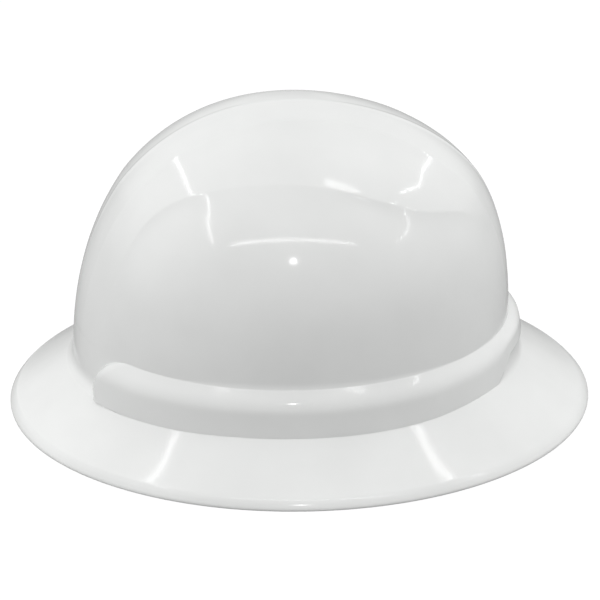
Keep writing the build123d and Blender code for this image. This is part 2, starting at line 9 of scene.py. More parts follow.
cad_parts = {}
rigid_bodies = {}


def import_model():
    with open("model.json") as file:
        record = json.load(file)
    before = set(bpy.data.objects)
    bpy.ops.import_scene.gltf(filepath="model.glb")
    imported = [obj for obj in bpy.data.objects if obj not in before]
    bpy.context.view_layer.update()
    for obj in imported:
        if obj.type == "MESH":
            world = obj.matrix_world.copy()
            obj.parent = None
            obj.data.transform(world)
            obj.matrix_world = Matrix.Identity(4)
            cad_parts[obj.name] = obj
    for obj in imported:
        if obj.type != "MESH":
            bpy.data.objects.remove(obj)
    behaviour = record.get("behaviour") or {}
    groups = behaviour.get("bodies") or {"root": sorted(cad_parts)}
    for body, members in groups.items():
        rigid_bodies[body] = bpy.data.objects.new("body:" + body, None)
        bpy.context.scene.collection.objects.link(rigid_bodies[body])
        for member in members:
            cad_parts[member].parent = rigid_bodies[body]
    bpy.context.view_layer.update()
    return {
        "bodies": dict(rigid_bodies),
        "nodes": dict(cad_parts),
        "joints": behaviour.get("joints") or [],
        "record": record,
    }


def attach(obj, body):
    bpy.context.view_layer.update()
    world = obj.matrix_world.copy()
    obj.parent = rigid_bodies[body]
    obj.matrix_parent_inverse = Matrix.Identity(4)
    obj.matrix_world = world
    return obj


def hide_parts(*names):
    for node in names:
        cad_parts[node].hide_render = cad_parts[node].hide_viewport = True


# A white full brim hard hat. Sizes are in millimetres, and a finished mesh is brought to metres
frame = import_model()
nodes = frame["nodes"]
scene = bpy.context.scene
mm = 0.001
print("frame loaded with", len(nodes), "nodes")

# The photograph's view: from the wearer's right and a little above
view = {
    "toCamera": (-0.9077, 0.0954, 0.4086),
    "distance": 1300.0,
    "target": (0.0, 0.0, 40.0),
    "lens": 146.6,
    "sensor": 36.0,
    "shiftY": 0.0323,
}

lens = bpy.data.cameras.new("camera")
lens.lens = view["lens"]
lens.sensor_width = view["sensor"]
lens.shift_y = view["shiftY"]
camera = bpy.data.objects.new("camera", lens)
scene.collection.objects.link(camera)
target = Vector(view["target"]) * mm
toCamera = Vector(view["toCamera"]).normalized()
camera.location = target + toCamera * view["distance"] * mm
camera.rotation_euler = toCamera.to_track_quat("Z", "Y").to_euler()
scene.camera = camera


# Small helpers
def smoothStep(value):
    value = min(1.0, max(0.0, value))
    return value * value * (3 - 2 * value)


def blendOf(low, high, share):
    return low + (high - low) * share


def curveAt(stops, place):  # smooth curve through (place, value) stops, whose places fall
    if place >= stops[0][0]:
        return stops[0][1]
    if place <= stops[-1][0]:
        return stops[-1][1]
    index = 0
    while stops[index + 1][0] > place:
        index += 1
    before, start = stops[max(0, index - 1)], stops[index]
    end, after = stops[index + 1], stops[min(len(stops) - 1, index + 2)]
    span = end[0] - start[0]
    share = (place - start[0]) / span
    startSlope = (end[1] - before[1]) / (end[0] - before[0]) * span
    endSlope = (after[1] - start[1]) / (after[0] - start[0]) * span
    square, cube = share ** 2, share ** 3
    return (
        (2 * cube - 3 * square + 1) * start[1]
        + (cube - 2 * square + share) * startSlope
        + (3 * square - 2 * cube) * end[1]
        + (cube - square) * endSlope
    )


def hexColour(code):  # sRGB hex to the linear colour that sockets take
    levels = [int(code[i:i + 2], 16) / 255 for i in (0, 2, 4)]
    return [v / 12.92 if v <= 0.04045 else ((v + 0.055) / 1.055) ** 2.4 for v in levels] + [1.0]


def scaleFor(size):  # noise scale for features of this size in millimetres
    return 1 / (size * mm)


def addNode(tree, kind, settings=None, inputs=None):
    made = tree.nodes.new(kind)
    for name, value in (settings or {}).items():
        setattr(made, name, value)
    for name, value in (inputs or {}).items():
        if isinstance(value, bpy.types.NodeSocket):
            tree.links.new(value, made.inputs[name])
        else:
            made.inputs[name].default_value = value
    return made


def newMaterial(name):
    material = bpy.data.materials.new(name)
    material.use_nodes = True
    tree = material.node_tree
    shader = tree.nodes["Principled BSDF"]
    coords = addNode(tree, "ShaderNodeTexCoord")
    return material, tree, shader, coords.outputs["Object"]


def addPiece(bm, name, materials, body, replaced=(), sharp=35):
    bmesh.ops.scale(bm, vec=(mm, mm, mm), verts=bm.verts)
    mesh = bpy.data.meshes.new(name)
    bm.to_mesh(mesh)
    bm.free()
    for face in mesh.polygons:
        face.use_smooth = True
    mesh.set_sharp_from_angle(angle=radians(sharp))
    piece = bpy.data.objects.new(name, mesh)
    scene.collection.objects.link(piece)
    for material in materials:
        mesh.materials.append(material)
    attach(piece, body)
    if replaced:
        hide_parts(*replaced)
    print(name, "made with", len(mesh.polygons), "faces")
    return piece


# Materials
hdpeLook = {
    "tints": ("E0E1E0", "E6E7E6"),
    "cloudSize": 55.56,
    "waveSize": 38.46,
    "waveDepth": 0.6,
    "peelSize": 2.381,
    "peelDepth": 0.05,
    "roughness": (0.08, 0.13),
    "index": 1.5,
}


def glossyPolyethylene():
    # Injection-moulded HDPE: white, glossy, with the faint orange peel and slow waves of a moulded wall
    look = hdpeLook
    material, tree, shader, place = newMaterial("glossyPolyethylene")
    clouds = addNode(tree, "ShaderNodeTexNoise", inputs={
        "Vector": place, "Scale": scaleFor(look["cloudSize"]), "Detail": 3.0})
    tint = addNode(tree, "ShaderNodeValToRGB", inputs={"Fac": clouds.outputs["Fac"]})
    for element, position, colour in zip(tint.color_ramp.elements, (0.3, 0.7), look["tints"]):
        element.position = position
        element.color = hexColour(colour)
    peel = addNode(tree, "ShaderNodeTexNoise", inputs={
        "Vector": place, "Scale": scaleFor(look["peelSize"]), "Detail": 2.0})
    waves = addNode(tree, "ShaderNodeTexNoise", inputs={
        "Vector": place, "Scale": scaleFor(look["waveSize"]), "Detail": 1.0})
    waveBump = addNode(tree, "ShaderNodeBump", inputs={
        "Height": waves.outputs["Fac"], "Distance": look["waveDepth"] * mm, "Strength": 0.12})
    peelBump = addNode(tree, "ShaderNodeBump", inputs={
        "Height": peel.outputs["Fac"], "Distance": look["peelDepth"] * mm, "Strength": 0.15,
        "Normal": waveBump.outputs["Normal"]})
    gloss = addNode(tree, "ShaderNodeMapRange", inputs={
        "Value": clouds.outputs["Fac"], "To Min": look["roughness"][0], "To Max": look["roughness"][1]})
    tree.links.new(tint.outputs["Color"], shader.inputs["Base Color"])
    tree.links.new(gloss.outputs["Result"], shader.inputs["Roughness"])
    tree.links.new(peelBump.outputs["Normal"], shader.inputs["Normal"])
    shader.inputs["IOR"].default_value = look["index"]
    return material


nylonLook = {
    "grainSize": 0.7143,  # drawn coarser than life so that it shows
    "grainDepth": 0.1,
    "scuffSize": 16.67,
    "glossSpread": (-0.08, 0.1),
}


def grainedNylon(name, colour, roughness):
    # Moulded nylon or acetal with a spark-eroded grain: dull, with scuffs that catch the light
    look = nylonLook
    material, tree, shader, place = newMaterial(name)
    shader.inputs["Base Color"].default_value = hexColour(colour)
    grain = addNode(tree, "ShaderNodeTexNoise", inputs={
        "Vector": place, "Scale": scaleFor(look["grainSize"]), "Detail": 3.0})
    scuffs = addNode(tree, "ShaderNodeTexNoise", inputs={
        "Vector": place, "Scale": scaleFor(look["scuffSize"]), "Detail": 6.0, "Roughness": 0.7})
    gloss = addNode(tree, "ShaderNodeMapRange", inputs={
        "Value": scuffs.outputs["Fac"],
        "To Min": roughness + look["glossSpread"][0], "To Max": roughness + look["glossSpread"][1]})
    bump = addNode(tree, "ShaderNodeBump", inputs={
        "Height": grain.outputs["Fac"], "Distance": look["grainDepth"] * mm, "Strength": 0.35})
    tree.links.new(gloss.outputs["Result"], shader.inputs["Roughness"])
    tree.links.new(bump.outputs["Normal"], shader.inputs["Normal"])
    return material


zincLook = {"colour": "B8BBBE", "markSize": 0.4545, "markDepth": 0.05, "roughness": (0.24, 0.4)}


def zincSteel():
    # Zinc-plated steel: pale grey metal with fine turning marks
    look = zincLook
    material, tree, shader, place = newMaterial("zincSteel")
    marks = addNode(tree, "ShaderNodeTexNoise", inputs={
        "Vector": place, "Scale": scaleFor(look["markSize"]), "Detail": 2.0})
    gloss = addNode(tree, "ShaderNodeMapRange", inputs={
        "Value": marks.outputs["Fac"], "To Min": look["roughness"][0], "To Max": look["roughness"][1]})
    bump = addNode(tree, "ShaderNodeBump", inputs={
        "Height": marks.outputs["Fac"], "Distance": look["markDepth"] * mm, "Strength": 0.3})
    shader.inputs["Base Color"].default_value = hexColour(look["colour"])
    shader.inputs["Metallic"].default_value = 1.0
    tree.links.new(gloss.outputs["Result"], shader.inputs["Roughness"])
    tree.links.new(bump.outputs["Normal"], shader.inputs["Normal"])
    return material


fabricLook = {
    "fuzzSize": 1.111,
    "fuzzShare": 0.5,
    "yarnDepth": 0.3,
    "roughness": 0.85,
    "sheen": 0.25,
    "sheenSpread": 0.4,
}


def wovenFabric(name, weaveShadeColours, size, yarn, ribs):
    # Woven polyester: dull yarn over and under, drawn a little coarser than life so that it shows, with painted shade
    # in the weave's hollows and a painted highlight on the yarn's crowns
    look = fabricLook
    material, tree, shader, place = newMaterial(name)
    uvMap = addNode(tree, "ShaderNodeUVMap")
    parts = addNode(tree, "ShaderNodeSeparateXYZ", inputs={"Vector": uvMap.outputs["UV"]})
    waves = []
    for axis, length, pitch in (("X", size[0], yarn), ("Y", size[1], yarn * ribs)):
        turns = addNode(tree, "ShaderNodeMath", {"operation": "MULTIPLY"}, {
            0: parts.outputs[axis], 1: 2 * pi * length / pitch})
        wave = addNode(tree, "ShaderNodeMath", {"operation": "SINE"}, {0: turns.outputs["Value"]})
        waves.append(wave.outputs["Value"])
    weave = addNode(tree, "ShaderNodeMath", {"operation": "MULTIPLY"}, {0: waves[0], 1: waves[1]})
    height = addNode(tree, "ShaderNodeMapRange", inputs={"Value": weave.outputs["Value"], "From Min": -1.0})
    fuzz = addNode(tree, "ShaderNodeTexNoise", inputs={
        "Vector": place, "Scale": scaleFor(look["fuzzSize"]), "Detail": 3.0})
    rough = addNode(tree, "ShaderNodeMath", {"operation": "MULTIPLY_ADD"}, {
        0: fuzz.outputs["Fac"], 1: look["fuzzShare"], 2: height.outputs["Result"]})
    # Painted shade and highlight: the first colour goes where the weave is low, the second where the yarn stands up
    tint = addNode(tree, "ShaderNodeMix", {"data_type": "RGBA"}, {
        0: height.outputs["Result"], 6: hexColour(weaveShadeColours[0]), 7: hexColour(weaveShadeColours[1])})
    bump = addNode(tree, "ShaderNodeBump", inputs={
        "Height": rough.outputs["Value"], "Distance": look["yarnDepth"] * mm, "Strength": 0.6})
    tree.links.new(tint.outputs[2], shader.inputs["Base Color"])
    tree.links.new(bump.outputs["Normal"], shader.inputs["Normal"])
    shader.inputs["Roughness"].default_value = look["roughness"]
    shader.inputs["Sheen Weight"].default_value = look["sheen"]
    shader.inputs["Sheen Roughness"].default_value = look["sheenSpread"]
    return material


threadLook = {"colour": "6A6D70", "twistSize": 0.3333, "twistDepth": 0.1, "roughness": 0.6}


def sewingThread():
    # Twisted polyester thread: small bright ridges that catch the light
    look = threadLook
    material, tree, shader, place = newMaterial("sewingThread")
    twist = addNode(tree, "ShaderNodeTexNoise", inputs={
        "Vector": place, "Scale": scaleFor(look["twistSize"]), "Detail": 1.0})
    bump = addNode(tree, "ShaderNodeBump", inputs={
        "Height": twist.outputs["Fac"], "Distance": look["twistDepth"] * mm, "Strength": 0.4})
    tree.links.new(bump.outputs["Normal"], shader.inputs["Normal"])
    shader.inputs["Base Color"].default_value = hexColour(look["colour"])
    shader.inputs["Roughness"].default_value = look["roughness"]
    return material


hdpe = glossyPolyethylene()
thread = sewingThread()
nylonBlack = grainedNylon("grainedNylonBlack", "232426", 0.5)
nylonGrey = grainedNylon("grainedNylonGrey", "2E3033", 0.45)
acetal = grainedNylon("naturalAcetal", "E4E1D6", 0.35)
zinc = zincSteel()
print("materials made")

# The shell: dome, raised panel and rib, band, brim and lip, with one closed wall
crown = {
    "halfWidth": 105.0,
    "halfLength": 115.6,
    "shift": 5.0,
    "foot": 23.6,
    "top": 161.0,
    "frontPowers": (3.45, 0.548),
    "rearPowers": (2.17, 0.462),
    "wall": 2.4,
    "apexShare": 0.13,  # the part round the top that is smoothed
    "apexSmoothing": 12,
}
raised = {
    "panelRise": 1.1,
    "ribRise": 1.0,
    "fullShare": 0.7,  # share of the height from which panel and rib stand up fully
    "fadePower": 3,
    "columnGap": 16.0,
    "panelSlopeStops": (  # place from rear to front, and the slope's width there
        (125, 7.0), (62, 7.0), (45, 14.0), (15, 16.0), (-5, 11.0), (-22, 4.5), (-50, 7.0), (-125, 7.5),
    ),
    "ribSlope": 13.0,
    "ridgeRise": 0.35,
    "ridgeWidth": 2.0,
    "ribStops": ((120, 24.0), (-30, 24.0), (-50, 26.5), (-70, 29.6), (-120, 29.6)),
    "panelStops": (  # place from rear to front, and half width
        (125, 46.0), (98, 46.0), (85, 44.6), (70, 47.4), (48, 55.4), (26, 60.6), (6, 63.6), (-20, 66.0),
        (-42, 65.0), (-59, 59.6), (-82, 43.0), (-96, 30.5), (-106, 27.0), (-125, 26.0),
    ),
}
band = {
    "top": 48.9,
    "footStops": (  # degrees from the side, rear to front, and height where the brim leaves the crown
        (90, 23.7), (54, 23.6), (46, 24.2), (29, 25.0), (17, 25.8), (-30, 25.6), (-41, 26.6), (-50, 27.0), (-90, 27.0),
    ),
    "proud": 7.0,  # how far the lower edge stands out
    "flatTo": 0.17,  # shares of the way down between which the shoulder turns
    "steepFrom": 0.5,
    "wallSlope": 0.29,
    "edge": 0.5,
    "endStops": (  # height, and the angle of the band's rear end there
        (48.9, 51.0), (48.2, 53.4), (46.7, 55.8), (44.6, 58.3), (42.0, 60.3), (38.8, 61.9), (35.2, 62.9), (32, 63.3),
        (29, 63.4), (25.3, 62.9),
    ),
    "leanReach": 17.0,  # degrees over which the columns beside the end lean with it
    "endRound": 5.5,
    "endPowers": (2.2, 0.65),
    "lift": 11.0,  # rise of the lower edge in front, between two angles
    "liftFrom": 55.0,
    "liftTo": 64.0,
    "recess": 2.6,  # step back of the wall under the lifted edge
    "recessEase": 0.13,
    "innerDrop": 0.45,
}
brim = {
    "halfWidth": 139.7,
    "halfLength": 155.0,
    "footRun": 7.0,  # how far out the round at the crown's foot runs
    "rearRun": 4.0,
    "runStops": (36.0, 58.0),
    "fillet": 6.5,  # how far up it runs
    "rearFillet": 5.5,
    "filletPower": 2.1,
    "slopePower": 1.05,
    "lipHeight": 5.0,
    "lipShare": 0.9,  # share of the way out where the slope ends
    "wall": 3.3,
    "rimWall": 2.7,
    "cornerFoot": 25.3,
    "lipBend": (0.95, 3.3),
}
shellMesh = {
    "across": 120,
    "along": 124,
    "arcSteps": 500,
    "ridgeLoops": (0.0, 0.8, 1.7, 2.8, 4.2, 8.0, 13.0, 18.0),  # distances from the crest
    "ridgeReach": 22.8,  # from the crest to the first rib column
    "ribLoops": (-1.2, -0.4, 0.3, 1.2, 3.0, 6.0, 9.5, 13.0),  # distances out from the rib's and the panel's edges
    "panelLoops": (-1.0, -0.4, 0.1, 0.7, 1.6, 3.0, 5.0, 7.5),
    "endLoops": (-0.5, 0.1, 0.35, 0.8, 1.5, 2.6, 4.2, 6.5),  # distances into the band from its end
    "between": 8,
    "outside": 29,
    "toEnd": 8,
    "rearFrom": 0.55,  # from here on the columns gather at the band's rear end
    "rearSpan": 0.4,
    "bandRows": (  # shares of the band's height
        0.985, 0.95, 0.9, 0.85, 0.8, 0.76, 0.72, 0.67, 0.62, 0.57, 0.52, 0.47, 0.42, 0.36, 0.28, 0.2, 0.12, 0.05, 0,
    ),
    "skirtRows": (0.98, 0.95, 0.91, 0.86, 0.78, 0.68, 0.56, 0.44, 0.33, 0.23, 0.14, 0.06),
    "brimRows": (  # shares of the way out
        0.017, 0.03, 0.05, 0.08, 0.12, 0.17, 0.23, 0.3, 0.37, 0.44, 0.51, 0.58, 0.65, 0.72, 0.78, 0.83, 0.87,
    ),
    "cornerRows": (0.2, 0.4, 0.55, 0.7, 0.85, 1.0),
    "rimRows": ((0.985, 1.85), (0.994, 1.35), (0.999, 0.9), (1.0, 0.5), (0.997, 0.12), (0.99, 0.0)),
}


def crownShape(share):
    front = max(0.0, 1 - share ** crown["frontPowers"][0]) ** crown["frontPowers"][1]
    rear = max(0.0, 1 - share ** crown["rearPowers"][0]) ** crown["rearPowers"][1]
    return (front + rear) / 2, front, rear


def crownPoint(share, angle, offset):
    side, front, rear = crownShape(share)
    reach = rear if sin(angle) > 0 else front
    return Vector((
        (crown["halfWidth"] + offset) * side * cos(angle),
        crown["shift"] + (crown["halfLength"] + offset) * reach * sin(angle),
        crown["foot"] + (crown["top"] + offset - crown["foot"]) * share,
    ))


# The crown is unrolled onto a disc: its radius is the way down from the top, and the band's top is at 1
bandShare = (band["top"] - crown["foot"]) / (crown["top"] - crown["foot"])
arcSteps = shellMesh["arcSteps"]
arcs = [0.0]
for step in range(1, arcSteps + 1):
    here = crownPoint(1 - (1 - bandShare) * (step / arcSteps) ** 2, 0, 0)
    last = crownPoint(1 - (1 - bandShare) * ((step - 1) / arcSteps) ** 2, 0, 0)
    arcs.append(arcs[-1] + (here - last).length)


def shareAt(radius):
    length = min(1.0, radius) * arcs[-1]
    index = min(arcSteps, max(1, bisect_left(arcs, length)))
    step = index - 1 + (length - arcs[index - 1]) / (arcs[index] - arcs[index - 1])
    return 1 - (1 - bandShare) * (step / arcSteps) ** 2


def domePlace(across, along):  # square grid to disc, then to a share of the height and an angle
    x = across * sqrt(1 - along ** 2 / 2)
    y = along * sqrt(1 - across ** 2 / 2)
    return shareAt(hypot(x, y)), atan2(y, x)


def ribHalfWidth(y):
    return curveAt(raised["ribStops"], y)


def panelHalfWidth(y):
    return curveAt(raised["panelStops"], y)


def panelColumnWidth(y):  # the panel's columns stay outside the rib's
    return max(panelHalfWidth(y), ribHalfWidth(y) + raised["columnGap"])


def slopeOut(distance, width):  # level up to an edge, and then a slope that eases into the wall
    return (1 - min(1.0, max(0.0, distance / width))) ** 2


def riseAt(point, share):
    fade = min(1.0, (share / raised["fullShare"]) ** raised["fadePower"])
    panel = slopeOut(abs(point.x) - panelHalfWidth(point.y), curveAt(raised["panelSlopeStops"], point.y))
    rib = slopeOut(abs(point.x) - ribHalfWidth(point.y), raised["ribSlope"])
    ridge = exp(-((point.x / raised["ridgeWidth"]) ** 2))
    return fade * (raised["panelRise"] * panel + raised["ribRise"] * rib + raised["ridgeRise"] * ridge)


def columnAt(along, widthAt, place):  # where a row meets a line of the given half width
    low, high = 0.0, 1.0
    for _ in range(22):
        middle = (low + high) / 2
        point = crownPoint(*domePlace(middle, along), 0)
        if abs(point.x) < widthAt(point.y) + place:
            low = middle
        else:
            high = middle
    return low


endTop = band["endStops"][0][1]
endScale = hypot(crown["halfWidth"] * sin(radians(endTop)), crown["halfLength"] * cos(radians(endTop)))


def rowColumns(along):  # places of one row's points, from the crest out to the grid's edge
    ribs = [columnAt(along, ribHalfWidth, place) for place in shellMesh["ribLoops"]]
    panels = [columnAt(along, panelColumnWidth, place) for place in shellMesh["panelLoops"]]
    ridge = [ribs[0] * place / shellMesh["ridgeReach"] for place in shellMesh["ridgeLoops"]]
    count = shellMesh["between"]
    places = ridge + ribs + [blendOf(ribs[-1], panels[0], i / (count + 1)) for i in range(1, count + 1)] + panels
    tight = [sqrt(2) * cos(radians(endTop) - place / endScale) for place in shellMesh["endLoops"]]
    count, toEnd = shellMesh["outside"], shellMesh["toEnd"]
    rear = [blendOf(panels[-1], tight[0], i / (toEnd + 1)) for i in range(1, toEnd + 1)] + tight
    left = count - len(rear)
    rear += [blendOf(tight[-1], 1, i / left) for i in range(1, left + 1)]
    even = [blendOf(panels[-1], 1, i / count) for i in range(1, count + 1)]
    toRear = smoothStep((along - shellMesh["rearFrom"]) / shellMesh["rearSpan"])
    return places + [blendOf(e, r, toRear) for e, r in zip(even, rear)]


def leanAt(angle, z):  # how far, in radians, the columns by the band's rounded ends lean towards the rear
    fromEnd = degrees(angle if cos(angle) > 0 else pi - angle) - endTop
    lean = radians(curveAt(band["endStops"], z) - endTop) * exp(-((fromEnd / band["leanReach"]) ** 2))
    return lean if cos(angle) > 0 else -lean


def intoBand(angle):  # distance from the band's end, in millimetres, more than any round in front
    if sin(angle) <= 0:
        return 100.0
    return (radians(endTop) - (angle if cos(angle) > 0 else pi - angle)) * endScale


def sideAngle(angle):  # degrees from the side: rear 90, front -90
    return degrees(angle if cos(angle) > 0 else (pi - angle if angle > 0 else -pi - angle))


def footAt(angle):  # where the brim leaves the crown
    return curveAt(band["footStops"], sideAngle(angle))


def liftAt(angle):  # the band's lower edge rises off the brim in front
    return band["lift"] * smoothStep((-sideAngle(angle) - band["liftFrom"]) / (band["liftTo"] - band["liftFrom"]))


def bandOut(up, angle):  # how far the band stands out: a sloping face, a rounded shoulder and a steep wall
    toEnd = min(1.0, max(0.0, 1 - intoBand(angle) / band["endRound"]))
    down, flat = 1 - up, band["flatTo"]
    bend = band["steepFrom"] - flat
    turn = min(1.0, max(0.0, (down - flat) / bend))
    profile = min(down, flat) + bend * (turn - turn ** 2 / 2)
    slope = (1 - band["wallSlope"] * (1 - flat - bend / 2)) / (flat + bend / 2)
    rise = band["wallSlope"] * down + (slope - band["wallSlope"]) * profile
    powers = band["endPowers"]
    return band["proud"] * rise * (1 - toEnd ** powers[0]) ** powers[1]


def footRunAt(angle, side, rear):  # one size along the sides and the front, another behind the band's ends
    start, end = brim["runStops"]
    return blendOf(brim[side], brim[rear], smoothStep((sideAngle(angle) - start) / (end - start)))


def filletOut(z, angle):
    share = (z - footAt(angle)) / footRunAt(angle, "fillet", "rearFillet")
    return footRunAt(angle, "footRun", "rearRun") * min(1.0, max(0.0, 1 - share)) ** brim["filletPower"]


def wallPoint(angle, turned, z, out, inset):
    side, front, rear = crownShape(max(0.0, z - crown["foot"]) / (crown["top"] - crown["foot"]))
    reach = rear if sin(angle) > 0 else front
    return Vector((
        (crown["halfWidth"] * side + out - inset) * cos(turned),
        crown["shift"] + (crown["halfLength"] * reach + out - inset) * sin(turned),
        z,
    ))


def bandRow(up):
    def place(angle):
        z = blendOf(footAt(angle) + band["edge"] + liftAt(angle), band["top"], up)
        out = max(bandOut(up, angle), filletOut(z, angle))
        turned = angle + leanAt(angle, z)
        inner = wallPoint(angle, turned, z, out, crown["wall"])
        inner.z -= band["innerDrop"] * up ** 4
        return wallPoint(angle, turned, z, out, 0), inner
    return place


def skirtRow(up):  # the short wall between the band's foot and the brim
    def place(angle):
        z = footAt(angle) + (band["edge"] + liftAt(angle)) * up
        depth = band["recess"] * liftAt(angle) / band["lift"]
        hollow = depth * smoothStep((1 - up) / band["recessEase"]) * (1 - (1 - up) ** 3)
        out = max(bandOut(0, angle) - hollow, filletOut(z, angle))
        turned = angle + leanAt(angle, footAt(angle))
        return wallPoint(angle, turned, z, out, 0), wallPoint(angle, turned, z, out, crown["wall"])
    return place


def brimRow(run, drop=None):  # drop sets a row's height, for those past the brim's slope
    def place(angle):
        z = brimHeight(run, footAt(angle)) if drop is None else drop
        turned = angle + leanAt(angle, footAt(angle)) * (1 - run) ** 3
        low = min(1.0, max(0.0, z / brim["lipHeight"]))
        inset = blendOf(brim["rimWall"], blendOf(crown["wall"], brim["wall"], min(1, run * 10)), low)
        footRun = footRunAt(angle, "footRun", "rearRun")
        halfWidth = blendOf(crown["halfWidth"] + footRun, brim["halfWidth"], run)
        halfLength = blendOf(crown["halfLength"] + footRun, brim["halfLength"], run)
        centre = blendOf(crown["shift"], 0, run)
        points = []
        for step in (0, inset):
            points.append(Vector(((halfWidth - step) * cos(turned), centre + (halfLength - step) * sin(turned), z)))
        return points
    return place


def brimHeight(run, foot):
    return brim["lipHeight"] + (foot - brim["lipHeight"]) * (1 - run / brim["lipShare"]) ** brim["slopePower"]


def shellRows():  # every ring below the dome's grid, from the top down and out to the rim
    rows = [bandRow(up) for up in shellMesh["bandRows"]]
    rows += [skirtRow(up) for up in shellMesh["skirtRows"]]
    rows += [brimRow(run) for run in shellMesh["brimRows"]]
    last = shellMesh["brimRows"][-1]
    start = (last, brimHeight(last, brim["cornerFoot"]))
    corner = (brim["lipShare"], brim["lipHeight"])
    for step in shellMesh["cornerRows"]:  # round corner between brim and lip
        low = [blendOf(a, b, step) for a, b in zip(start, corner)]
        high = [blendOf(a, b, step) for a, b in zip(corner, brim["lipBend"])]
        rows.append(brimRow(*[blendOf(a, b, step) for a, b in zip(low, high)]))
    rows += [brimRow(run, height) for run, height in shellMesh["rimRows"]]
    return rows


def extrudeRing(bm, edges, angles, place):  # one more ring, and where its points go outside and inside
    made = bmesh.ops.extrude_edge_only(bm, edges=edges)["geom"]
    newVerts = [v for v in made if isinstance(v, bmesh.types.BMVert)]
    newAngles, inner = {}, {}
    for vert in newVerts:
        above = next(e.other_vert(vert) for e in vert.link_edges if e.other_vert(vert) in angles)
        newAngles[vert] = angles[above]
        vert.co, inner[vert] = place(angles[above])
    ring = [e for e in made if isinstance(e, bmesh.types.BMEdge) and e.is_boundary]
    return ring, newAngles, inner


pocket = {
    "keyAngle": 45.0,
    "arcShift": 17.0,  # the front and rear keys' arcs are centred this far from the middle
    "ringShift": 2.0,
    "width": 22.0,
    "depth": 6.0,
    "face": 85.8,
    "low": 58.5,
    "high": 76.5,
    "slotWidth": 16.0,
    "slotNear": 87.6,
    "slotFar": 90.2,
    "slotTop": 73.2,
    "cuts": (63.0, 67.5, 72.0),
    "near": 0.1,  # what lies this near to a face is taken as on it
    "wallSearch": (60.0, 130.0),  # distances between which the wall is looked for
}


def keyFrames():  # the four keys' frames: y points out from the head
    frames = []
    for sideways in (1, -1):
        for lengthways in (1, -1):
            turn = sideways * radians(-90 + lengthways * (90 - pocket["keyAngle"]))
            shift = Matrix.Translation((0, pocket["ringShift"] + lengthways * pocket["arcShift"], 0))
            frames.append(shift @ Matrix.Rotation(turn, 4, "Z"))
    return frames


def wallReach(frame, x, z):  # distance out to the middle of the shell's wall
    low, high = pocket["wallSearch"]
    side, front, rear = crownShape((z - crown["foot"]) / (crown["top"] - crown["foot"]))
    for _ in range(30):
        reach = (low + high) / 2
        point = frame @ Vector((x, reach, z))
        long = rear if point.y > crown["shift"] else front
        across = point.x / (crown["halfWidth"] * side - crown["wall"] / 2)
        along = (point.y - crown["shift"]) / (crown["halfLength"] * long - crown["wall"] / 2)
        if hypot(across, along) < 1:
            low = reach
        else:
            high = reach
    return low


def addPocket(bm, frame):
    height = pocket["high"] - pocket["low"]
    block = bmesh.ops.create_cube(bm, size=1)["verts"]
    bmesh.ops.scale(bm, vec=(pocket["width"], pocket["depth"], height), verts=block)
    middle = (0, pocket["face"] + pocket["depth"] / 2, pocket["low"] + height / 2)
    bmesh.ops.translate(bm, vec=middle, verts=block)
    half = pocket["slotWidth"] / 2
    cuts = [((x, 0, 0), (1, 0, 0)) for x in (-half, half)]
    cuts += [((0, y, 0), (0, 1, 0)) for y in (pocket["slotNear"], pocket["slotFar"])]
    cuts += [((0, 0, z), (0, 0, 1)) for z in pocket["cuts"]]
    faces = list({f for v in block for f in v.link_faces})
    geom = block + list({e for v in block for e in v.link_edges}) + faces
    for place, normal in cuts:
        geom = bmesh.ops.bisect_plane(bm, geom=geom, plane_co=place, plane_no=normal)["geom"]
    verts = [g for g in geom if isinstance(g, bmesh.types.BMVert)]
    for vert in verts:
        if vert.co.y > pocket["face"] + pocket["depth"] - pocket["near"]:
            vert.co.y = wallReach(frame, vert.co.x, vert.co.z)
    opening = []
    for face in (g for g in geom if isinstance(g, bmesh.types.BMFace)):
        centre = face.calc_center_median()
        under = centre.z < pocket["low"] + pocket["near"]
        if under and abs(centre.x) < half and pocket["slotNear"] < centre.y < pocket["slotFar"]:
            opening.append(face)
    slot = bmesh.ops.extrude_face_region(bm, geom=opening)["geom"]
    slotVerts = [g for g in slot if isinstance(g, bmesh.types.BMVert)]
    bmesh.ops.delete(bm, geom=opening, context="FACES_ONLY")
    bmesh.ops.translate(bm, vec=(0, 0, pocket["slotTop"] - pocket["low"]), verts=slotVerts)
    bmesh.ops.transform(bm, matrix=frame, verts=verts + slotVerts)


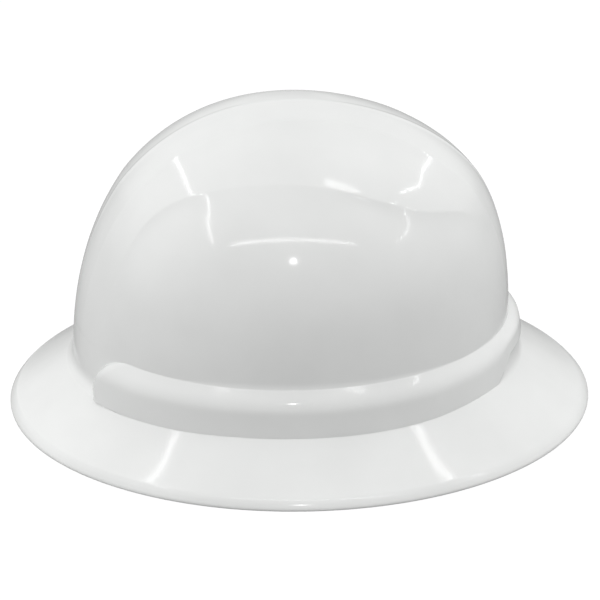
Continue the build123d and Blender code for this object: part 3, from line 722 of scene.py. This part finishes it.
def buildShell():
    bm = bmesh.new()
    bmesh.ops.create_grid(bm, x_segments=shellMesh["across"], y_segments=shellMesh["along"], size=1)
    half, rowCount = shellMesh["across"] // 2, shellMesh["along"]
    columns = [rowColumns(-1 + 2 * row / rowCount) for row in range(rowCount + 1)]
    inner, angles, apex = {}, {}, []
    for vert in bm.verts:
        column = round((vert.co.x + 1) * half) - half
        row = round((vert.co.y + 1) / 2 * rowCount)
        across = columns[row][abs(column)] * (1 if column > 0 else -1)
        along = vert.co.y
        share, angle = domePlace(across, along)
        vert.co = crownPoint(share, angle, riseAt(crownPoint(share, angle, 0), share))
        inner[vert] = crownPoint(share, angle, -crown["wall"])
        if hypot(across, along) < crown["apexShare"]:
            apex.append(vert)
        if vert.is_boundary:
            angles[vert] = angle
    for _ in range(crown["apexSmoothing"]):
        bmesh.ops.smooth_vert(bm, verts=apex, factor=0.5, use_axis_x=True, use_axis_y=True, use_axis_z=True)
    ring = [e for e in bm.edges if e.is_boundary]
    for place in shellRows():
        ring, angles, ringInner = extrudeRing(bm, ring, angles, place)
        inner.update(ringInner)
    copy = bmesh.ops.duplicate(bm, geom=bm.verts[:] + bm.edges[:] + bm.faces[:])
    twin = copy["vert_map"]
    for vert, point in inner.items():
        twin[vert].co = point
    for _ in range(crown["apexSmoothing"]):
        innerApex = [twin[v] for v in apex]
        bmesh.ops.smooth_vert(bm, verts=innerApex, factor=0.5, use_axis_x=True, use_axis_y=True, use_axis_z=True)
    bmesh.ops.reverse_faces(bm, faces=[f for f in copy["geom"] if isinstance(f, bmesh.types.BMFace)])
    rims = [e for e in bm.edges if e.is_boundary]
    bmesh.ops.bridge_loops(bm, edges=rims)
    for frame in keyFrames():
        addPocket(bm, frame)
    bmesh.ops.recalc_face_normals(bm, faces=bm.faces)
    addPiece(bm, "shell_moulding", [hdpe], "hat", ["shell"], 50)


buildShell()

# Crown straps: webbing looped through the keys' slots and sewn back on itself
strap = {
    "keyRadial": 79.2,
    "foot": 58.0,
    "crown": 127.0,
    "gap": 1.5,
    "width": 16.0,
    "thickness": 1.2,
    "crossing": 1.5,  # how much higher the upper strap passes
    "overlap": 24.0,  # length of the end that lies back on the strap
    "steps": 240,
    "archSweep": 77.0,
    "archSteps": 60,
    "foldGap": 0.15,
    "loop": (  # through the key's slot and back over its top: distances out from its face, and heights
        (-2.0, 70.2), (-1.9, 67.5), (-1.4, 65.7), (-0.4, 65.0), (1.0, 64.95), (2.3, 65.2), (3.0, 66.3), (3.1, 68.0),
        (2.9, 70.0), (2.2, 71.5), (0.9, 72.3), (-0.5, 72.9),
    ),
    "columns": 8,
    "sideGap": 0.1,
    # the webbing's two colours: painted shade in the weave's hollows, then a painted highlight on the yarn's crowns
    "weaveShadeColours": ("17181A", "2B2D30"),
    "yarn": 2.4,
    "ribs": 0.6,
    "sewFrom": 4.0,
    "sewLength": 18.0,
    "sewWidth": 10.0,
    "stitch": 2.2,
    "threadProud": 0.02,
}
keySide = strap["keyRadial"] * sin(radians(pocket["keyAngle"]))
keyReach = pocket["arcShift"] + strap["keyRadial"] * cos(radians(pocket["keyAngle"]))
strapSpan = hypot(keySide, keyReach)


def strapLine(rise, extra):  # half of the arch in its own plane, from the top down, extra outside its middle
    span = strapSpan - strap["gap"] - strap["thickness"] / 2 + extra
    high = strap["crown"] + rise - strap["foot"] - strap["thickness"] / 2 + extra
    points = []
    for step in range(strap["archSteps"] + 1):
        angle = radians(90 - strap["archSweep"] * step / strap["archSteps"])
        points.append(Vector((span * cos(angle), strap["foot"] + high * sin(angle))))
    return points


def strapRoute(rise):  # down the arch, through the slot, up outside the key and back over its top
    inside = strapLine(rise, 0.0)
    tail = strapLine(rise, strap["thickness"] + strap["foldGap"])
    loop = [Vector((strapSpan + out, z)) for out, z in strap["loop"]]
    length, back = 0.0, []
    for above, below in zip(tail[::-1][1:], tail[::-1]):
        length += (above - below).length
        if length < strap["overlap"]:
            back.append(above)
    return inside + loop + back


def evenPoints(points, count):  # smooth line through the points, at even steps
    spline = bpy.data.curves.new("route", "CURVE")
    spline.dimensions = "3D"
    line = spline.splines.new("NURBS")
    line.points.add(len(points) - 1)
    for knot, point in zip(line.points, points):
        knot.co = (point.x, point.y, 0, 1)
    line.order_u = 3
    line.use_endpoint_u = True
    line.resolution_u = 6
    holder = bpy.data.objects.new("route", spline)
    mesh = bpy.data.meshes.new_from_object(holder)
    path = [v.co.copy() for v in mesh.vertices]
    bpy.data.objects.remove(holder)
    bpy.data.curves.remove(spline)
    bpy.data.meshes.remove(mesh)
    lengths = [0.0]
    for a, b in zip(path, path[1:]):
        lengths.append(lengths[-1] + (b - a).length)
    result = []
    for step in range(count + 1):
        place = lengths[-1] * step / count
        index = min(len(path) - 1, max(1, bisect_left(lengths, place)))
        share = (place - lengths[index - 1]) / max(1e-9, lengths[index] - lengths[index - 1])
        result.append(path[index - 1].lerp(path[index], share))
    return result, lengths[-1]


def strapFrame(lean):
    along = Vector((lean * keySide / strapSpan, keyReach / strapSpan, 0))
    across = Vector((along.y, -along.x, 0))
    return along, across


def placeOnStrap(lean, end, point, across):  # end is 1 or -1, point is in the arch's plane
    forward, sideways = strapFrame(lean)
    return forward * point.x * end + sideways * across + Vector((0, pocket["ringShift"], point.y))


def buildStrap(name, node, lean, rise):
    half, length = evenPoints(strapRoute(rise), strap["steps"] // 2)
    line = [(p, -1) for p in half[::-1]] + [(p, 1) for p in half[1:]]
    bm = bmesh.new()
    bm.loops.layers.uv.new("UVMap")
    bmesh.ops.create_grid(bm, x_segments=len(line) - 1, y_segments=strap["columns"], size=1, calc_uvs=True)
    for vert in bm.verts:
        index = round((vert.co.x + 1) / 2 * (len(line) - 1))
        point, end = line[index]
        vert.co = placeOnStrap(lean, end, point, vert.co.y * (strap["width"] / 2 - strap["sideGap"]))
    bmesh.ops.recalc_face_normals(bm, faces=bm.faces)
    bmesh.ops.solidify(bm, geom=bm.faces[:], thickness=strap["thickness"])
    bmesh.ops.recalc_face_normals(bm, faces=bm.faces)
    low = min(v.co.z for v in bm.verts)
    print(name, "lowest point", round(low, 1), "strap length", round(2 * length))
    size = (2 * length, strap["width"])
    webbing = wovenFabric(name + "Weave", strap["weaveShadeColours"], size, strap["yarn"], strap["ribs"])
    addPiece(bm, name, [webbing], "hat", [node], 60)


stitchShape = {"share": 0.46, "radius": 0.32}  # half a bead's length as a share of its stitch, and its radius


def addStitch(bm, start, end):  # one thread bead, half sunk in the cloth
    turn = (end - start).to_track_quat("X", "Z").to_matrix().to_4x4()
    bead = bmesh.ops.create_icosphere(bm, subdivisions=1, radius=1)["verts"]
    radius = stitchShape["radius"]
    bmesh.ops.scale(bm, vec=((end - start).length * stitchShape["share"], radius, radius), verts=bead)
    bmesh.ops.transform(bm, matrix=Matrix.Translation((start + end) / 2) @ turn, verts=bead)


def buildStrapSewing(name, lean, rise):  # a box and a cross at both ends, seen inside and outside
    bm = bmesh.new()
    line = strapLine(rise, 0.0)[::-1]
    proud = strap["thickness"] / 2 + strap["threadProud"]
    long, wide = strap["sewLength"], strap["sewWidth"] / 2
    corners = [(0, -wide), (long, -wide), (long, wide), (0, wide), (0, -wide), (long, wide), (0, wide), (long, -wide)]
    for end in (1, -1):
        for face in (-1, 1):
            for (a, b), (c, d) in zip(corners, corners[1:]):
                count = max(1, round(hypot(c - a, d - b) / strap["stitch"]))
                places = []
                for step in range(count + 1):
                    along, across = blendOf(a, c, step / count) + strap["sewFrom"], blendOf(b, d, step / count)
                    index, travelled = 0, 0.0
                    while travelled < along:
                        travelled += (line[index + 1] - line[index]).length
                        index += 1
                    heading = (line[index] - line[index - 1]).normalized()
                    out = Vector((heading.y, -heading.x))
                    sink = -proud if face < 0 else proud + strap["thickness"] + strap["foldGap"]
                    point = line[index] - heading * (travelled - along) + out * sink
                    places.append(placeOnStrap(lean, end, point, across))
                for start, stop in zip(places, places[1:]):
                    addStitch(bm, start, stop)
    addPiece(bm, name, [thread], "hat")


buildStrap("webbing_lower", "crown_strap_lower", 1, 0)
buildStrap("webbing_upper", "crown_strap_upper", -1, strap["crossing"])
buildStrapSewing("webbing_lower_sewing", 1, 0)
buildStrapSewing("webbing_upper_sewing", -1, strap["crossing"])

# Pads: foam in a woven cover, sewn through to the back in channels
browPad = {
    "node": "brow_pad",
    "centre": -15.0,
    "face": 76.7,
    "thickness": 4.2,
    "halfHeight": 16.0,
    "middle": 270.0,
    "halfAngle": 72.0,
    "channels": 9,
    "grid": (190, 34),
}
napePad = {
    "node": "nape_pad",
    "centre": 19.0,
    "face": 76.9,
    "thickness": 4.0,
    "halfHeight": 13.0,
    "middle": 90.0,
    "halfAngle": 20.0,
    "channels": 3,
    "grid": (60, 28),
}
padCloth = {
    "level": 20.0,  # height of the pads' middle
    "edge": 1.2,  # thickness at the hem
    "edgeRound": 0.8,
    "sideRoll": 8.0,  # width over which the ends roll down
    "rollPowers": (2.6, 3.2, 0.75),
    "seam": 2.6,  # distance from the edge
    "seamDepth": 0.9,
    "seamWidth": 0.8,
    "channelDepth": 0.9,
    "channelWidth": 1.5,
    "pullDepth": 0.12,  # small pull marks beside the channels
    "pullRate": 1.9,
    "least": 0.05,
    "corner": 5.0,
    # the cover's two colours: painted shade in the weave's hollows, then a painted highlight on the yarn's crowns
    "weaveShadeColours": ("222427", "3B3E42"),
    "yarn": 1.6,
    "ribs": 1.0,  # yarn spacing across, as a share of that along
    "stitch": 3.0,
    "stitchGap": 0.12,
    "cornerGap": 3.0,
    "channelGap": 1.5,
    "threadProud": 0.1,
}


def padThickness(pad, along, across, half):  # along and across in millimetres from the middle
    cloth, high = padCloth, pad["halfHeight"]
    sidePower, topPower, fullPower = cloth["rollPowers"]
    toSide = max(0.0, 1 - (half - abs(along)) / cloth["sideRoll"])
    toTop = max(0.0, 1 - (high - abs(across)) / high)
    crownShare = (1 - toSide ** sidePower) * (1 - toTop ** topPower)
    edge = min(half - abs(along), high - abs(across))
    thick = cloth["edge"] * min(1.0, edge / cloth["edgeRound"]) ** 0.5
    thick += (pad["thickness"] - cloth["edge"]) * max(0.0, crownShare) ** fullPower
    thick -= cloth["seamDepth"] * exp(-(((edge - cloth["seam"]) / cloth["seamWidth"]) ** 2))
    spacing = 2 * half / pad["channels"]
    toChannel = (along + half) / spacing
    toChannel = abs(toChannel - round(toChannel)) * spacing
    if spacing / 2 < along + half < 2 * half - spacing / 2 and edge > cloth["seam"]:
        thick -= cloth["channelDepth"] * exp(-((toChannel / cloth["channelWidth"]) ** 2)) * max(0.0, crownShare)
    pull = cos(pi * toChannel / spacing) * cloth["pullDepth"] * cos(across * cloth["pullRate"])
    return max(cloth["least"], thick - max(0.0, pull) * crownShare)


def padPoint(pad, along, across, depth):
    angle = radians(pad["middle"]) + along / pad["face"]
    reach = pad["face"] - depth
    return Vector((reach * cos(angle), pad["centre"] + reach * sin(angle), padCloth["level"] + across))


def buildPad(name, pad):
    bm = bmesh.new()
    bm.loops.layers.uv.new("UVMap")
    bmesh.ops.create_grid(bm, x_segments=pad["grid"][0], y_segments=pad["grid"][1], size=1, calc_uvs=True)
    half = radians(pad["halfAngle"]) * pad["face"]
    flat = {v: (v.co.x * half, v.co.y * pad["halfHeight"]) for v in bm.verts}
    cornerRound = padCloth["corner"]
    for vert, (along, across) in flat.items():  # rounded corners in the cut
        corner = max(0.0, abs(along) - half + cornerRound) / cornerRound
        if corner > 0:
            across *= 1 - (1 - sqrt(max(0.0, 1 - corner ** 2))) * cornerRound / pad["halfHeight"]
        flat[vert] = (along, across)
        vert.co = padPoint(pad, along, across, padThickness(pad, along, across, half))
    copy = bmesh.ops.duplicate(bm, geom=bm.verts[:] + bm.edges[:] + bm.faces[:])
    for vert, place in flat.items():
        copy["vert_map"][vert].co = padPoint(pad, place[0], place[1], 0.0)
    bmesh.ops.reverse_faces(bm, faces=[g for g in copy["geom"] if isinstance(g, bmesh.types.BMFace)])
    bmesh.ops.bridge_loops(bm, edges=[e for e in bm.edges if e.is_boundary])
    bmesh.ops.recalc_face_normals(bm, faces=bm.faces)
    size = (2 * half, 2 * pad["halfHeight"])
    cloth = wovenFabric(name + "Cloth", padCloth["weaveShadeColours"], size, padCloth["yarn"], padCloth["ribs"])
    piece = addPiece(bm, name, [cloth], "head_ring", [pad["node"]], 60)
    buildPadSewing(name + "_sewing", pad, half)


def buildPadSewing(name, pad, half):
    bm = bmesh.new()
    cloth, high, seam = padCloth, pad["halfHeight"], padCloth["seam"]
    side, top = half - seam, high - seam
    gap = cloth["cornerGap"]
    rows = [[(-side + gap, s * top), (side - gap, s * top)] for s in (-1, 1)]
    rows += [[(s * side, -top + gap), (s * side, top - gap)] for s in (-1, 1)]
    gap = cloth["channelGap"]
    for channel in range(1, pad["channels"]):
        along = -half + 2 * half / pad["channels"] * channel
        rows.append([(along, -top + gap), (along, top - gap)])
    for (a, b), (c, d) in rows:
        count = round(hypot(c - a, d - b) / cloth["stitch"])
        for step in range(count):
            ends = []
            for share in ((step + cloth["stitchGap"]) / count, (step + 1 - cloth["stitchGap"]) / count):
                along, across = blendOf(a, c, share), blendOf(b, d, share)
                depth = padThickness(pad, along, across, half) + cloth["threadProud"]
                ends.append(padPoint(pad, along, across, depth))
            addStitch(bm, *ends)
    addPiece(bm, name, [thread], "head_ring")


buildPad("brow_cushion", browPad)
buildPad("nape_cushion", napePad)

# Finishes of the carried-over parts
finishes = {
    "key_front_left": nylonBlack, "key_front_right": nylonBlack,
    "key_rear_left": nylonBlack, "key_rear_right": nylonBlack,
    "headband": nylonBlack, "headband_studs": nylonGrey, "brow_pad_snaps": nylonGrey,
    "rack_arm_left": nylonGrey, "rack_arm_right": nylonGrey, "ratchet_housing": nylonBlack, "ratchet_cover": nylonBlack,
    "cover_screws": zinc, "pinion": acetal, "detent_spring": zinc, "knob": nylonGrey, "knob_screw": zinc,
}
for name, material in finishes.items():
    nodes[name].data.materials.clear()
    nodes[name].data.materials.append(material)
print("carried-over parts finished")

# Floor, lights and world
studio = {
    "floor": 3000.0,
    "floorGlow": 1.1,
    "glowColour": "FFFFFF",
    "floorTone": "282828",
    "floorSheen": 0.7,  # how much dimmer the paper is in a mirror than to the camera
    "paperColour": "F0F0F0",
    "glowShare": 0.75,
    "tentHeight": 430.0,
    "tubeRadiance": 12.0,
    "tubes": {  # the tent's light tubes: their width, and their route seen from above
        "tubeRear": (9.0, ((-275.0, 400.0), (-130.0, 340.0), (230.0, 338.0))),
        "tubeNear": (9.0, ((-328.0, 312.0), (-391.0, -241.0))),
        "tubeFront": (9.0, ((-42.0, -320.0), (60.0, -402.0), (330.0, -416.0))),
        "tubeBrim": (9.0, ((-150.0, -303.0), (-102.0, -316.0))),
        "tubeCorner": (9.0, ((-140.0, -370.0), (-190.0, -510.0), (-330.0, -470.0))),
        "tubeTop": (5.0, ((-69.0, -77.0), (-99.0, -172.0))),
        "tubeTopTwin": (5.0, ((-84.0, -72.0), (-114.0, -167.0))),
    },
    "wallPlaces": ((0.0, -700.0, 330.0), (0.0, 700.0, 330.0)),  # the tent's bright side walls
    "wallSize": (900.0, 500.0),
    "wallRadiance": (0.9, 1.1),
    "lampPlace": (-900.0, 52.0, 690.0),
    "lampWidth": 55.0,
    "lampRadiance": 30.0,
    # the sky's grey at each height, in the light that it gives and as it is seen or mirrored
    "litStops": ((0.0, 0.68), (0.1, 1.12), (0.25, 1.22), (0.42, 1.08), (0.63, 0.68), (1.0, 0.79)),
    "seenStops": ((0.0, 0.4), (0.12, 0.66), (0.3, 0.92), (1.0, 1.0)),
}


def seenRays(tree):  # 1 for the camera's rays and for those that a mirror or glass sends on
    path = addNode(tree, "ShaderNodeLightPath")
    mirrored = addNode(tree, "ShaderNodeMath", {"operation": "MAXIMUM"}, {
        0: path.outputs["Is Glossy Ray"], 1: path.outputs["Is Transmission Ray"]})
    seen = addNode(tree, "ShaderNodeMath", {"operation": "MAXIMUM"}, {
        0: path.outputs["Is Camera Ray"], 1: mirrored.outputs["Value"]})
    return seen.outputs["Value"]


def buildFloor():
    bm = bmesh.new()
    bmesh.ops.create_grid(bm, x_segments=2, y_segments=2, size=studio["floor"])
    bmesh.ops.scale(bm, vec=(mm, mm, mm), verts=bm.verts)
    mesh = bpy.data.meshes.new("floor")
    bm.to_mesh(mesh)
    bm.free()
    floor = bpy.data.objects.new("floor", mesh)
    scene.collection.objects.link(floor)
    # Matt paper: white to the camera with the hat's soft shadow, dimmer in a mirror, grey in the light it throws back
    material, tree, shader, _ = newMaterial("paperFloor")
    seen = seenRays(tree)
    shader.inputs["Base Color"].default_value = hexColour(studio["floorTone"])
    shader.inputs["Roughness"].default_value = 0.9
    glow = addNode(tree, "ShaderNodeEmission", inputs={
        "Color": hexColour(studio["glowColour"]), "Strength": studio["floorGlow"]})
    paper = addNode(tree, "ShaderNodeBsdfDiffuse", inputs={"Color": hexColour(studio["paperColour"])})
    white = addNode(tree, "ShaderNodeMixShader", inputs={
        "Fac": studio["glowShare"], 1: paper.outputs["BSDF"], 2: glow.outputs["Emission"]})
    path = addNode(tree, "ShaderNodeLightPath")
    dimmed = addNode(tree, "ShaderNodeMath", {"operation": "MULTIPLY"}, {
        0: path.outputs["Is Glossy Ray"], 1: studio["floorSheen"]})
    share = addNode(tree, "ShaderNodeMath", {"operation": "SUBTRACT"}, {0: seen, 1: dimmed.outputs["Value"]})
    mix = addNode(tree, "ShaderNodeMixShader", inputs={
        "Fac": share.outputs["Value"], 1: shader.outputs["BSDF"], 2: white.outputs["Shader"]})
    tree.links.new(mix.outputs["Shader"], tree.nodes["Material Output"].inputs["Surface"])
    mesh.materials.append(material)


def addLamp(name, shape, size, radiance, matrix):  # size in millimetres, radiance where 1 is white
    lamp = bpy.data.lights.new(name, "AREA")
    lamp.shape = shape
    lamp.size = size[0] * mm
    lamp.size_y = size[1] * mm
    area = size[0] * size[1] * mm * mm * (pi / 4 if shape == "DISK" else 1.0)
    lamp.energy = radiance * pi * area
    holder = bpy.data.objects.new(name, lamp)
    scene.collection.objects.link(holder)
    holder.matrix_world = matrix
    holder.visible_camera = False
    return holder


def buildLights():
    for name, (width, route) in studio["tubes"].items():
        places = [Vector((x, y, studio["tentHeight"])) * mm for x, y in route]
        for start, end in zip(places, places[1:]):
            length = (end - start).length / mm
            turn = Matrix.Rotation(atan2(end.y - start.y, end.x - start.x), 4, "Z")
            matrix = Matrix.Translation((start + end) / 2) @ turn
            addLamp(name, "RECTANGLE", (length, width), studio["tubeRadiance"], matrix)
    for place, radiance in zip(studio["wallPlaces"], studio["wallRadiance"]):
        place = Vector(place) * mm
        aim = (place - target).to_track_quat("Z", "Y").to_matrix().to_4x4()
        wall = addLamp("sideWall", "RECTANGLE", studio["wallSize"], radiance, Matrix.Translation(place) @ aim)
        wall.visible_glossy = False
    place = Vector(studio["lampPlace"]) * mm
    aim = (place - target).to_track_quat("Z", "Y").to_matrix().to_4x4()
    width = studio["lampWidth"]
    addLamp("roundLamp", "DISK", (width, width), studio["lampRadiance"], Matrix.Translation(place) @ aim)


def skyRamp(tree, height, stops):  # grey levels up the sky
    ramp = addNode(tree, "ShaderNodeValToRGB", inputs={"Fac": height})
    elements = ramp.color_ramp.elements
    while len(elements) < len(stops):
        elements.new(0.5)
    for element, (place, level) in zip(elements, stops):
        element.position = place
        element.color = (level, level, level, 1)
    return ramp.outputs["Color"]


def buildWorld():
    world = bpy.data.worlds.new("studioWorld")
    scene.world = world
    world.use_nodes = True
    tree = world.node_tree
    coords = addNode(tree, "ShaderNodeTexCoord")
    parts = addNode(tree, "ShaderNodeSeparateXYZ", inputs={"Vector": coords.outputs["Generated"]})
    colour = addNode(tree, "ShaderNodeMix", {"data_type": "RGBA"}, {
        0: seenRays(tree),
        6: skyRamp(tree, parts.outputs["Z"], studio["litStops"]),
        7: skyRamp(tree, parts.outputs["Z"], studio["seenStops"])})
    tree.links.new(colour.outputs[2], tree.nodes["Background"].inputs["Color"])


buildFloor()
buildLights()
buildWorld()
scene.view_settings.view_transform = "Standard"
print("studio ready")
